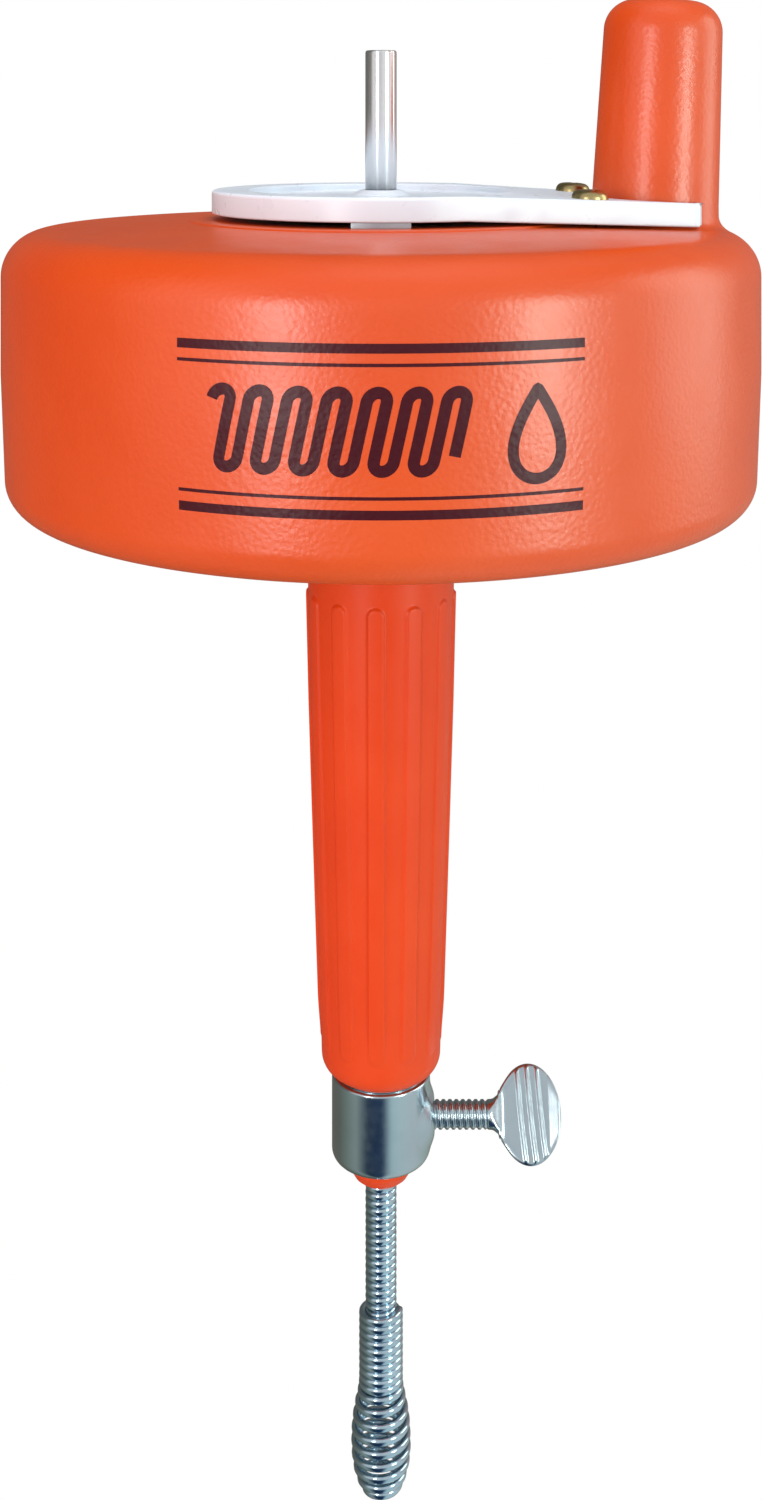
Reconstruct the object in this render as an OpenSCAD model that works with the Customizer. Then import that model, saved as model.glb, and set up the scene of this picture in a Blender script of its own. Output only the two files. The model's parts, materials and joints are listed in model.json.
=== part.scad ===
// Drain auger: a drum that stores a steel spiral cable, cranked by hand or
// turned by a drill, on a neck that runs inside a free-turning grip.
// +Z is up along the main axis; the origin is where the drive pin leaves the
// top of the white plate; the crank knob is toward +X; the front faces -Y.

/* [Drum] */
// Outside radius of the drum
drum_r = 95; // [70:0.5:120]
// Outside radius where the wall meets the bottom curve
drum_foot_r = 94; // [70:0.5:120]
// Height of the top beside the raised seat
drum_top_z = -7.8; // [-20:0.1:-7]
// Slope of the top towards the shoulder
crown = 3; // [0:0.1:6]
// Height of the bottom
drum_bottom_z = -78; // [-100:0.5:-60]
// Radius of the shoulder curve
shoulder_r = 11; // [4:0.5:20]
// Radius of the bottom curve
foot_r = 8; // [4:0.5:20]
// Wall of the moulding
drum_wall = 2.6; // [1.5:0.1:4]
// Radius of the raised seat on the top
seat_r = 49; // [45:0.5:60]
// Height of the raised seat
seat_h = 0.5; // [0.2:0.1:2]
// Radius of the opening under the plate
opening_r = 30; // [20:0.5:36]

/* [Knob] */
// Distance of the knob from the main axis
knob_x = 69.6; // [55:0.1:80]
// Radius at the foot
knob_foot_r = 16.15; // [10:0.1:20]
// Radius near the top
knob_top_r = 15; // [8:0.1:20]
// Height above the drum top
knob_h = 57.1; // [30:0.1:80]
// Radius of the rounded top edge
knob_edge_r = 8; // [2:0.5:12]
// Outward lean
knob_lean = 2.7; // [0:0.1:4]

/* [Drive plate] */
// Radius of the round part
plate_r = 43; // [36:0.5:48]
// Thickness
plate_t = 5.9; // [3:0.1:8]
// Radius of the recess in the top
recess_r = 33.7; // [20:0.1:40]
// Depth of the recess
recess_d = 1.8; // [0.5:0.1:4]
// Where the arm starts to slope down
arm_x = 20; // [15:0.5:40]
// Slope of the arm
arm_tilt = 2.7; // [0:0.1:5]
// How far the arm reaches
arm_end_x = 78.6; // [70:0.1:90]
// Gap round the knob
fork_gap = 0.8; // [0.3:0.1:3]
// Plate screw position along the arm
screw_x = 51; // [40:0.5:60]
// Plate screw position across the arm
screw_y = 20; // [15:0.5:28]

/* [Drive pin] */
// Radius of the pin
pin_r = 4; // [3:0.05:6.5]
// Height of its top above the plate
pin_h = 35.4; // [20:0.1:60]
// Width of the strap under the plate
strap_w = 14; // [8:0.5:24]
// Thickness of the strap
strap_t = 1.3; // [0.8:0.1:3]

/* [Neck and grip] */
// Outside radius of the neck
neck_r = 8.4; // [7:0.05:10]
// Bore radius of the neck
neck_bore_r = 4.6; // [4.2:0.05:6]
// Height of the end of the nose
nose_z = -251.8; // [-280:0.1:-240]
// Height of the top of the grip
grip_top_z = -79; // [-82:0.1:-78.5]
// Height of the bottom of the grip
grip_bottom_z = -224.2; // [-250:0.1:-180]
// Bore radius of the grip
grip_bore_r = 12.5; // [11:0.1:14]
// Number of ribs
rib_count = 12; // [6:1:24]
// Width of a rib
rib_w = 4.2; // [1:0.1:8]
// Height of a rib over the grip
rib_h = 0.55; // [0.2:0.05:2]
// Turn of the first rib from the front
rib_phase = -4; // [-15:1:15]

/* [Collar and thumbscrew] */
// Outside radius of the collar
collar_r = 12.5; // [10:0.1:16]
// Height of the top of the collar
collar_top_z = -224.7; // [-250:0.1:-200]
// Length of the collar
collar_h = 21.6; // [12:0.1:40]
// Height of the thumbscrew axis
clamp_z = -236; // [-245:0.1:-228]
// Outside radius of the thumbscrew thread
thread_r = 3.45; // [2:0.05:5]
// Pitch of the thumbscrew thread
thread_p = 1.65; // [0.5:0.05:2.5]
// Width of the spade head along the screw
spade_w = 16; // [10:0.1:30]
// Length of the spade head across the screw
spade_h = 22.9; // [12:0.1:40]
// Thickness of the spade head
spade_t = 2.6; // [1.5:0.1:5]
// How far the face of the spade head looks up
spade_tilt = 30; // [-90:1:90]

/* [Cable] */
// Radius of the cable
cable_r = 4; // [3:0.05:5]
// Thickness of the cable wire
wire_t = 1.85; // [1:0.05:3]
// Height of the top of the straight part
cable_top_z = -60; // [-66:0.5:-50]
// Height of its lower end inside the head
cable_end_z = -304; // [-320:0.5:-290]
// Radius of the sleeve of the head
sleeve_r = 5.6; // [5:0.05:7]
// Height of the top of the sleeve
sleeve_z = -284.5; // [-300:0.1:-270]
// Largest radius of the bulb
bulb_r = 7.65; // [6:0.05:10]
// Height of the end of the bulb
bulb_z = -331.2; // [-350:0.1:-310]

/* [Hidden] */
$fn = 96;
running = 0.06;
gap = 0.05;
drum_under_z = drum_top_z - drum_wall;
crown_r = seat_r - 3;
crown_z = drum_top_z + 3 * tan(crown);
shoulder_x = drum_r - shoulder_r;
shoulder_z = drum_top_z - (shoulder_x + shoulder_r * sin(crown) - seat_r) * tan(crown)
    - shoulder_r * cos(crown);
knob_z = drum_top_z - (knob_x - seat_r) * tan(crown);
tangent_a = acos(plate_r / norm([arm_end_x - 1.5, 17.7])) + atan2(17.7, arm_end_x - 1.5);
pin_seat_z = -2.2;
drum_floor_z = drum_bottom_z + drum_wall;
seat_z = drum_top_z + seat_h;
strap_z = -plate_t - gap - strap_t;
flange_z = drum_bottom_z - gap;
flange_t = 3;
flange_r = 15;
top_washer_z = flange_z - flange_t - gap;
bush_l = 14;
bush_wall_z = -83.6;
lip_z = -219;
store_radii = [85.8, 77.6, 69.4];
store_z = drum_floor_z + cable_r + gap;
shoe_r = 3.3;
shoe_in = cable_r + 0.3;
shoe_out = 8.2;
spade_x = 27.5;
spade_c = 37.8;
clip_angle = 200;
clip_x = 54;
boss_top_z = drum_floor_z + 4;

// ---- shared shapes ----

// A flat ring, bottom at z
module ring(r_out, r_in, h, z) {
    translate([0, 0, z])
    difference() {
        cylinder(r = r_out, h = h);
        translate([0, 0, -1]) cylinder(r = r_in, h = h + 2);
    }
}

// A hexagon nut, bottom at z
module hex_nut(flats, r_in, h, z) {
    translate([0, 0, z])
    difference() {
        cylinder(r = flats / sqrt(3), h = h, $fn = 6);
        translate([0, 0, -1]) cylinder(r = r_in, h = h + 2);
    }
}

// Points of an arc from angle a to angle b
function arc(x, z, r, a, b, n) =
    [for (i = [0:n]) let (t = a + (b - a) * i / n) [x + r * cos(t), z + r * sin(t)]];

// Half section of the drum, drawn in by t
module drum_half(t) {
    polygon(concat(
        [[0, crown_z - t], [crown_r, crown_z - t]],
        arc(shoulder_x, shoulder_z, shoulder_r - t, 90 - crown, 0, 14),
        [[drum_r - t, -44]],
        arc(drum_foot_r - foot_r, drum_bottom_z + foot_r, foot_r - t, 0, -90, 10),
        [[0, drum_bottom_z + t]]));
}

// Half section of the knob, drawn in by t, standing on z = 0
module knob_half(t) {
    flare = t > 0 ? 0 : 0.45;
    polygon(concat(
        [[0, -4], [knob_foot_r - t + flare, -4], [knob_foot_r - t + flare, -0.4],
         [knob_foot_r - t, flare]],
        arc(knob_top_r - knob_edge_r, knob_h - knob_edge_r, knob_edge_r - t, 0, 90, 12),
        [[0, knob_h - t]]));
}

module knob_body(t) {
    translate([knob_x, 0, knob_z])
    rotate([0, knob_lean, 0])
    rotate_extrude() knob_half(t);
}

// Things that follow the slope of the plate's arm
module on_arm() {
    translate([arm_x, 0, 0])
    rotate([0, arm_tilt, 0])
    translate([-arm_x, 0, 0])
    children();
}

module at_screws() {
    for (s = [-1, 1])
        on_arm() translate([screw_x, s * screw_y, 0]) children();
}

// ---- drum, plate and pin ----

module drum_shell() {
    color("OrangeRed")
    difference() {
        union() {
            rotate_extrude() drum_half(0);
            translate([0, 0, drum_top_z - 1]) cylinder(r = seat_r, h = seat_h + 1);
            knob_body(0);
        }
        difference() {
            rotate_extrude() drum_half(drum_wall);
            rotate([0, 0, clip_angle])
            translate([clip_x, 0, drum_floor_z - 1])
            cylinder(r = 4, h = boss_top_z - drum_floor_z + 1);
        }
        knob_body(drum_wall);
        translate([0, 0, drum_under_z - 1]) cylinder(r = opening_r, h = 8);
        translate([0, 0, drum_bottom_z - 1]) cylinder(r = neck_r + 0.1, h = 8);
        at_screws() translate([0, 0, -20]) cylinder(r = 2.2, h = 24);
        rotate([0, 0, clip_angle])
        translate([clip_x, 0, boss_top_z - 5.2]) cylinder(r = 1.55, h = 8);
    }
}

// Round part, arm and fork from above
module plate_outline() {
    difference() {
        polygon(concat(arc(0, 0, plate_r, tangent_a, 360 - tangent_a, 90),
                       [[arm_end_x - 1.5, -17.7], [arm_end_x, -16.4],
                        [arm_end_x, 16.4], [arm_end_x - 1.5, 17.7]]));
        translate([knob_x, 0]) circle(knob_foot_r + fork_gap);
        translate([knob_x, -14]) square([20, 28]);
    }
}

module drive_plate() {
    drop = (90 - arm_x) * tan(arm_tilt);
    color("WhiteSmoke")
    difference() {
        intersection() {
            translate([0, 0, -20]) linear_extrude(30) plate_outline();
            rotate([90, 0, 0])
            translate([0, 0, -60])
            linear_extrude(120)
            polygon([[-60, 0], [arm_x, 0], [90, -drop], [90, -drop - plate_t],
                     [arm_x, -plate_t], [-60, -plate_t]]);
        }
        difference() {
            translate([0, 0, -recess_d]) cylinder(r = recess_r, h = recess_d + 2);
            translate([0, 0, -recess_d - 1]) cylinder(r1 = 7.5, r2 = 5, h = recess_d + 0.9);
        }
        translate([0, 0, -10]) cylinder(r = pin_r + gap, h = 20);
        translate([0, 0, -10]) cylinder(r = 6 + gap, h = 10 + pin_seat_z + gap);
        at_screws() translate([0, 0, -12]) cylinder(r = 2.2, h = 20);
        for (s = [-1, 1])
            translate([0, s * 22, -plate_t - 1]) cylinder(r = 1.55, h = 4.2);
    }
}

module plate_screws() {
    color("Goldenrod")
    at_screws()
    difference() {
        union() {
            translate([0, 0, -14.5]) cylinder(r = 2, h = 15);
            translate([0, 0, gap]) cylinder(r1 = 4.5, r2 = 4.3, h = 1.2);
            translate([0, 0, gap + 1.2]) cylinder(r1 = 4.3, r2 = 3, h = 1);
        }
        for (a = [0, 90])
            rotate([0, 0, a + 20])
            translate([-2, -0.4, 1.1]) cube([4, 0.8, 3]);
    }
}

module plate_nuts() {
    color("Silver")
    at_screws() hex_nut(7, 2 + gap, 3.2, -12.8);
}

module drive_pin() {
    color("Silver")
    rotate_extrude()
    polygon([[0, -15], [2.5, -15], [3, -14.5], [3, -plate_t - gap], [6, -plate_t - gap],
             [6, pin_seat_z], [pin_r - 0.3, pin_seat_z], [pin_r - 0.3, 0], [pin_r, 0],
             [pin_r, pin_h - 0.6], [pin_r - 0.6, pin_h], [0, pin_h]]);
}

module drive_strap() {
    color("Silver")
    translate([0, 0, strap_z])
    difference() {
        intersection() {
            translate([-strap_w / 2, -50, 0]) cube([strap_w, 100, strap_t - 0.01]);
            cylinder(r = plate_r - 0.5, h = strap_t - 0.01);
        }
        translate([0, 0, -1]) cylinder(r = 3 + gap, h = 4);
        for (s = [-1, 1])
            translate([0, s * 22, -1]) cylinder(r = 1.75, h = 4);
    }
}

module strap_screws() {
    color("Silver")
    for (s = [-1, 1])
        translate([0, s * 22, strap_z]) {
            translate([0, 0, -gap - 2]) cylinder(r1 = 2.4, r2 = 3, h = 2);
            translate([0, 0, -1]) cylinder(r = 1.5, h = 5);
        }
}

module pin_washer() {
    color("Silver")
    ring(6.4, 3 + gap, 1.2, strap_z - gap - 1.2);
}

module pin_lock_nut() {
    color("Silver")
    hex_nut(10, 3 + gap, 5, strap_z - 2 * gap - 6.2);
}

// ---- grip ----

// Half section of the grip, drawn out by t
module grip_half(t) {
    polygon([[0, grip_top_z], [19.1 + t, grip_top_z], [18.5 + t, -105], [17.9 + t, -130],
             [17.1 + t, -156], [16.3 + t, -181], [15.45 + t, -207], [15.2 + t, -214],
             [15.1 + t, grip_bottom_z + 5], [10.1 + t, grip_bottom_z],
             [0, grip_bottom_z]]);
    intersection() {
        translate([10.1 + t, grip_bottom_z + 5]) circle(5);
        translate([0, grip_bottom_z]) square([40, 12]);
    }
}

// One rib, lengthwise with rounded ends
module rib_bar() {
    top = -102;
    low = -216;
    rotate([90, 0, 0])
    linear_extrude(30)
    union() {
        translate([-rib_w / 2, low + rib_w / 2]) square([rib_w, top - low - rib_w]);
        translate([0, low + rib_w / 2]) circle(rib_w / 2);
        translate([0, top - rib_w / 2]) circle(rib_w / 2);
    }
}

module grip_sleeve() {
    color("OrangeRed")
    difference() {
        union() {
            rotate_extrude() grip_half(0);
            intersection() {
                rotate_extrude() grip_half(rib_h);
                for (i = [0 : rib_count - 1])
                    rotate([0, 0, rib_phase + i * 360 / rib_count]) rib_bar();
            }
        }
        translate([0, 0, lip_z]) cylinder(r = grip_bore_r, h = 200);
        translate([0, 0, grip_bottom_z - 1]) cylinder(r = 9.2, h = 20);
        translate([0, 0, bush_wall_z]) cylinder(r = 15.8, h = 20);
        translate([0, 0, grip_bottom_z - 1]) cylinder(r = 11.3, h = 2.1);
    }
}

module bush(z) {
    ring(grip_bore_r - 0.01, neck_r + running, bush_l, z);
}

module upper_bush() {
    color("Ivory")
    bush(bush_wall_z - bush_l);
}

module lower_bush() {
    color("Ivory")
    bush(lip_z + 0.01);
}

module upper_thrust_washer() {
    color("Silver")
    ring(14.6, neck_r + 0.15, 2.3, top_washer_z - 2.3);
}

module lower_thrust_washer() {
    color("Silver")
    ring(11.1, neck_r + 0.15, 1.4, collar_top_z + gap);
}

// ---- neck ----

module neck_tube() {
    color("OrangeRed")
    difference() {
        union() {
            rotate_extrude()
            polygon([[0, -64], [neck_r, -64], [neck_r, nose_z + 5], [neck_r - 0.4, nose_z + 3],
                     [neck_r - 1.6, nose_z + 1], [neck_r - 2.8, nose_z], [0, nose_z]]);
            translate([0, 0, flange_z - flange_t]) cylinder(r = flange_r, h = flange_t);
        }
        translate([0, 0, nose_z - 1]) cylinder(r = neck_bore_r, h = 220);
        translate([0, 0, -70]) cylinder(r = 6.5, h = 10);
        translate([0, 0, clamp_z]) rotate([0, 90, 0]) cylinder(r = shoe_r + 0.1, h = 12);
    }
}

module neck_washer() {
    color("Silver")
    ring(17, neck_r + gap, 1.6, drum_floor_z + gap);
}

module neck_lock_nut() {
    color("Silver")
    hex_nut(26, neck_r + gap, 7, drum_floor_z + 2 * gap + 1.6);
}

module cable_guide() {
    color("Ivory")
    rotate_extrude()
    polygon([[neck_bore_r, -69.9], [6.45, -69.9], [6.45, -63.9], [8.2, -63.9], [10.5, -56],
             [8.8, -56], [6.4, -62], [neck_bore_r, -65]]);
}

// ---- collar and thumbscrew ----

module along_clamp() {
    translate([0, 0, clamp_z]) rotate([0, 90, 0]) children();
}

module collar() {
    low = collar_top_z - collar_h;
    color("Silver")
    difference() {
        union() {
            rotate_extrude() {
                polygon([[0, low], [collar_r - 2.5, low], [collar_r, low + 2.5],
                         [collar_r, collar_top_z - 0.4], [collar_r - 0.4, collar_top_z],
                         [0, collar_top_z]]);
                translate([collar_r - 2.5, low + 2.5]) circle(2.5);
            }
            along_clamp() translate([0, 0, 10]) cylinder(r1 = 7.6, r2 = 4.9, h = 3.8);
        }
        translate([0, 0, low - 1]) cylinder(r = neck_r + gap, h = collar_h + 2);
        along_clamp() cylinder(r = thread_r + gap, h = 20);
    }
}

// Ring thread from x = a to x = b on the clamp axis
module ring_thread(a, b) {
    n = floor((b - a) / thread_p);
    low = thread_r - 0.75;
    rotate_extrude()
    polygon(concat([[0, a], [low, a]],
        [for (i = [0 : n - 1]) each [
            [low, a + (i + 0.12) * thread_p], [thread_r, a + (i + 0.42) * thread_p],
            [thread_r, a + (i + 0.58) * thread_p], [low, a + (i + 0.88) * thread_p]]],
        [[low, b], [0, b]]));
}

// Oval head with the fan that leads in from the screw
module spade_outline() {
    polygon([for (i = [0 : 47])
        [spade_w / 2 * cos(i * 7.5), spade_h / 2 * sin(i * 7.5)]]);
    polygon([[-9.6, -2.9], [-5, -7.4], [-5, 7.4], [-9.6, 2.9]]);
}

module thumbscrew() {
    color("Silver")
    translate([0, 0, clamp_z])
    rotate([-spade_tilt, 0, 0])
    translate([0, 0, -clamp_z])
    union() {
        along_clamp() {
            translate([0, 0, shoe_out - 2.4]) cylinder(r = 1.5, h = 3);
            ring_thread(shoe_out + gap, spade_x);
            translate([0, 0, spade_x - 0.8]) cylinder(r1 = 2.9, r2 = 3.5, h = 1.2);
            translate([0, 0, spade_x + 0.4]) cylinder(r1 = 3.5, r2 = 1, h = 6);
        }
        translate([spade_c, spade_t / 2, clamp_z])
        rotate([90, 0, 0]) {
            linear_extrude(spade_t) spade_outline();
            for (x = [-2.2, 0.4, 3], s = [-1, 1])
                translate([x, 0, spade_t / 2 + s * (spade_t / 2 + 0.1)])
                rotate([0, 0, 4.6])
                cube([0.5, 19, 0.5], center = true);
        }
    }
}

module clamp_shoe() {
    color("DarkGoldenrod")
    along_clamp()
    difference() {
        translate([0, 0, shoe_in]) cylinder(r = shoe_r, h = shoe_out - shoe_in);
        translate([0, 0, shoe_out - 2.5]) cylinder(r = 1.5 + gap, h = 4);
    }
}

// ---- cable ----

module cable_store() {
    color("Silver")
    rotate_extrude()
    for (r = store_radii, k = [0, 1])
        if (k == 0 || r > 75)
            translate([r, store_z + k * (2 * cable_r + 0.1)])
            difference() {
                circle(cable_r);
                circle(cable_r - wire_t);
            }
}

module cable_clip() {
    top = store_z + cable_r + gap;
    r_in = store_radii[2] - cable_r - 1.6;
    color("Silver")
    rotate([0, 0, clip_angle])
    difference() {
        union() {
            translate([clip_x - 5, -6, boss_top_z + gap]) cube([r_in - clip_x + 5, 12, 1.4]);
            translate([r_in - 1.4, -6, boss_top_z + gap]) cube([1.4, 12, top - boss_top_z + 1.35]);
            translate([r_in - 1.4, -6, top]) cube([9.5, 12, 1.4]);
        }
        translate([clip_x, 0, boss_top_z - 1]) cylinder(r = 1.7, h = 5);
    }
}

module clip_screw() {
    color("Silver")
    rotate([0, 0, clip_angle])
    translate([clip_x, 0, boss_top_z + gap + 1.4]) {
        translate([0, 0, -6]) cylinder(r = 1.5, h = 6.5);
        translate([0, 0, gap]) cylinder(r1 = 3, r2 = 2.2, h = 1.8);
    }
}

// Scalloped outline of close turns between two heights
function turns(r, a, b, p) = [
    for (i = [0 : floor((a - b) / p) - 1]) each [
        [r - 0.45, a - i * p], [r, a - (i + 0.25) * p], [r, a - (i + 0.75) * p]]];

module cable_feed() {
    pitch = 1.89;
    color("Silver")
    rotate_extrude()
    polygon(concat([[cable_r - wire_t, cable_top_z]],
        turns(cable_r, cable_top_z, cable_end_z, pitch),
        [[cable_r - 0.45, cable_end_z], [cable_r - wire_t, cable_end_z]]));
}

// Outside radius of the head at a height
function head_r(z) =
    z > -303 ? sleeve_r :
    z > -316 ? sleeve_r + (bulb_r - sleeve_r) * (1 - cos((-303 - z) / 13 * 180)) / 2 :
    bulb_r * cos((-316 - z) / (-316 - bulb_z) * 52);

module bulb_head() {
    n_sleeve = 10;
    p_sleeve = 1.95;
    n_bulb = 9;
    p_bulb = (sleeve_z - n_sleeve * p_sleeve - bulb_z) / n_bulb;
    start = sleeve_z - n_sleeve * p_sleeve;
    color("Silver")
    rotate_extrude()
    polygon(concat([[cable_r + gap, sleeve_z]],
        turns(sleeve_r, sleeve_z, start + 0.1, p_sleeve),
        [for (i = [0 : n_bulb - 1], f = [0, 0.28, 0.72])
            let (z = start - (i + f) * p_bulb) [head_r(z) - (f == 0 ? 0.9 : 0), z]],
        [[head_r(bulb_z) - 1.6, bulb_z], [1.2, bulb_z], [1.2, bulb_z + 2],
         [head_r(-322) - 2.4, -322], [head_r(-314) - 2.4, -314], [cable_r + gap, -306]]));
}

drum_shell();
drive_plate();
plate_screws();
plate_nuts();
drive_pin();
drive_strap();
strap_screws();
pin_washer();
pin_lock_nut();
grip_sleeve();
upper_bush();
lower_bush();
upper_thrust_washer();
lower_thrust_washer();
neck_tube();
neck_washer();
neck_lock_nut();
cable_guide();
collar();
thumbscrew();
clamp_shoe();
cable_store();
cable_clip();
clip_screw();
cable_feed();
bulb_head();
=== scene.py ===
"""Looks of the drain auger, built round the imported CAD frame. Shapes are in millimetres here."""

import json
import math

import bmesh
import bpy
import numpy as np
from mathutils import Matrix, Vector


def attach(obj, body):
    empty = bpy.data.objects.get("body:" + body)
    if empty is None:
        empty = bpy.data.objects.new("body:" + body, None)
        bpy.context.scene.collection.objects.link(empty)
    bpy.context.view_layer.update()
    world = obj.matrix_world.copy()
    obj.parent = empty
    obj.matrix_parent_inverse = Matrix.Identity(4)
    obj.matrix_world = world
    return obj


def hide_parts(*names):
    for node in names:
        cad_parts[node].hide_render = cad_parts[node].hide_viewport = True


MM = 0.001
TAU = 2 * math.pi

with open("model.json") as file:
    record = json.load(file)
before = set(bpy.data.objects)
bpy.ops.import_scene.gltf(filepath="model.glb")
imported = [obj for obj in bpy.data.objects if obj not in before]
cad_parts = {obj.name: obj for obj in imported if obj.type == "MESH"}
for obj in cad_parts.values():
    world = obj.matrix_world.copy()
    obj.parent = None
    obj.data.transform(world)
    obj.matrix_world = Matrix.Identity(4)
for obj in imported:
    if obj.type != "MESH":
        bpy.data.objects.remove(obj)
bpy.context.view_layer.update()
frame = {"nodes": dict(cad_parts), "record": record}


# ---------------------------------------------------------------- numbers

# The object: lengths in millimetres, leans and tilts in degrees, zero on the plate's middle.
DRUM_R, DRUM_FOOT_R = 95.0, 94.0
DRUM_TOP, DRUM_LOW = -7.8, -78.0
CROWN = math.radians(3.0)  # slope of the drum's top
SHOULDER_R, FOOT_R = 11.0, 8.0
DRUM_WALL = 2.6
WALL_TAPER_Z = -44.0
SEAT_R, SEAT_Z = 49.0, -7.3
OPENING_R = 30.0
KNOB_X, KNOB_FOOT_R, KNOB_TOP_R = 69.6, 16.15, 15.0
KNOB_H, KNOB_EDGE_R, KNOB_LEAN, KNOB_FILLET = 57.1, 8.0, 2.7, 3.2
PLATE_R, PLATE_T = 43.0, 5.9
RECESS_R, RECESS_D = 33.7, 1.8
ARM_X, ARM_TILT, ARM_END = 20.0, 2.7, 78.6
SCREW_X, SCREW_Y = 51.0, 20.0
PIN_R, PIN_TOP, PIN_EDGE_R = 4.0, 35.4, 0.6
PIN_SHANK_R, PIN_SHANK_END, PIN_SHANK_EDGE = 3.0, -15.0, 0.5
PIN_SEAT_R, PIN_SEAT_TOP, PIN_SEAT_LOW, PIN_NECK_R = 6.0, -2.2, -5.95, 3.7
NECK_R = 8.4
GRIP_TOP, GRIP_LOW = -79.0, -224.2
RIBS, RIB_W, RIB_H, RIB_PHASE = 12, 4.2, 0.6, -4.0
RIB_TOP, RIB_LOW = -102.0, -216.0
COLLAR_R, COLLAR_TOP, COLLAR_LOW = 12.5, -224.7, -246.3
CLAMP_Z = -236.0
THREAD_R, THREAD_P, THREAD_X = 3.45, 1.65, 8.3
SPADE_X, SPADE_C, SPADE_W, SPADE_H, SPADE_T, SPADE_TILT = 27.5, 37.8, 16.0, 22.9, 2.6, 30.0
CABLE_R, WIRE_T, CABLE_P = 4.0, 1.85, 1.89
CABLE_TOP, CABLE_END, CABLE_LINE_R, CABLE_FLAT = -60.0, -304.0, CABLE_R - 0.78, 0.84
SLEEVE_R, SLEEVE_Z = 5.6, -284.5
BULB_R, BULB_Z = 7.65, -331.2
HEAD_WIRE, HEAD_INSET, HEAD_FLAT = 2.0, 0.88, 0.88
PRINT_MID, PRINT_HALF, PRINT_LIFT, PRINT_T, PRINT_TAPER = -45.0, 44.0, 0.03, 0.04, 24.0

# The stage: metres. The floor lies below the lowest reach of the pulled-out cable.
FLOOR_Z, FLOOR_SIZE = -0.5, 40
WORLD_POWER = 0.8
STATION = (0, -0.463, 0.0212)
LENS, LENS_SHIFT = 43.56, -0.4293  # focal length in mm, shift in frame heights


# ---------------------------------------------------------------- meshes

def smoothstep(a, b, x):
    """Smooth rise from 0 at a to 1 at b."""
    t = np.clip((np.asarray(x, float) - a) / (b - a), 0, 1)
    return t * t * (3 - 2 * t)


def make_mesh(name, verts, faces, smooth=True):
    """A mesh object from millimetre vertices."""
    mesh = bpy.data.meshes.new(name)
    mesh.from_pydata([tuple(v) for v in np.asarray(verts, float) * MM], [], faces)
    mesh.update()
    mesh.polygons.foreach_set("use_smooth", [smooth] * len(mesh.polygons))
    obj = bpy.data.objects.new(name, mesh)
    bpy.context.scene.collection.objects.link(obj)
    return obj


def grid_faces(rows, cols):
    """Quads between rows of points, closed round each row."""
    return [
        (i * cols + j, i * cols + (j + 1) % cols, (i + 1) * cols + (j + 1) % cols, (i + 1) * cols + j)
        for i in range(rows - 1) for j in range(cols)
    ]


def capped_faces(rows, cols):
    """Quads between closed rows of points, with a face over the first and the last row."""
    last = (rows - 1) * cols
    caps = [tuple(range(cols - 1, -1, -1)), tuple(range(last, last + cols))]
    return grid_faces(rows, cols) + caps


def arc(cx, cz, r, a0, a1, n):
    """Points of an arc in the (r, z) half plane, angles in degrees."""
    return [(cx + r * math.cos(math.radians(a)), cz + r * math.sin(math.radians(a)))
            for a in np.linspace(a0, a1, n)]


def revolve_data(profile, segments, closed=False):
    """Vertices and faces of an (r, z) outline turned round Z."""
    pts = list(profile) + ([profile[0]] if closed else [])
    phi = np.arange(segments) * TAU / segments
    verts = np.array([(r * math.cos(p), r * math.sin(p), z) for r, z in pts for p in phi])
    return verts, grid_faces(len(pts), segments)


def join_data(parts):
    """Several (vertices, faces) pairs as one."""
    verts, faces, base = [], [], 0
    for v, f in parts:
        verts.append(np.asarray(v, float))
        faces += [tuple(i + base for i in face) for face in f]
        base += len(v)
    return np.concatenate(verts), faces


def face_outward(bm):
    """Makes the faces of closed shells point outward."""
    bmesh.ops.recalc_face_normals(bm, faces=bm.faces)
    if bm.calc_volume(signed=True) < 0:
        bmesh.ops.reverse_faces(bm, faces=bm.faces)


def weld(obj):
    """Joins doubled points and makes the faces point outward."""
    gap = 0.002 * MM
    bm = bmesh.new()
    bm.from_mesh(obj.data)
    bmesh.ops.remove_doubles(bm, verts=bm.verts, dist=gap)
    bmesh.ops.dissolve_degenerate(bm, edges=bm.edges, dist=gap * 0.1)
    face_outward(bm)
    bm.to_mesh(obj.data)
    bm.free()
    obj.data.polygons.foreach_set("use_smooth", [True] * len(obj.data.polygons))
    return obj


def sweep_data(path, radius, sides, flat=1.0):
    """A capped wire along a path; radius is a number or one per point, flat below 1 presses it."""
    path = np.asarray(path, float)
    radius = np.broadcast_to(np.asarray(radius, float), (len(path),))
    tangent = np.gradient(path, axis=0)
    tangent /= np.linalg.norm(tangent, axis=1)[:, None]
    up = np.array([0.0, 0.0, 1.0])
    side = np.cross(tangent, up)
    side /= np.maximum(np.linalg.norm(side, axis=1), 1e-9)[:, None]
    other = np.cross(tangent, side)
    ang = np.arange(sides) * TAU / sides
    power = 1.0 if flat == 1 else 0.7
    across = flat * np.sign(np.cos(ang)) * np.abs(np.cos(ang)) ** power
    along = np.sign(np.sin(ang)) * np.abs(np.sin(ang)) ** power
    verts = (path[:, None, :]
             + radius[:, None, None] * (across[None, :, None] * side[:, None, :]
                                        + along[None, :, None] * other[:, None, :]))
    verts = verts.reshape(-1, 3)
    return verts, capped_faces(len(path), sides)


def finish_piece(obj, material, body, slot, *nodes):
    """Material, CAD body and the CAD nodes the piece stands for; the record slot is not used."""
    obj.data.materials.clear()
    obj.data.materials.append(material)
    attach(obj, body)
    if nodes:
        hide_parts(*nodes)


# ---------------------------------------------------------------- materials

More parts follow.
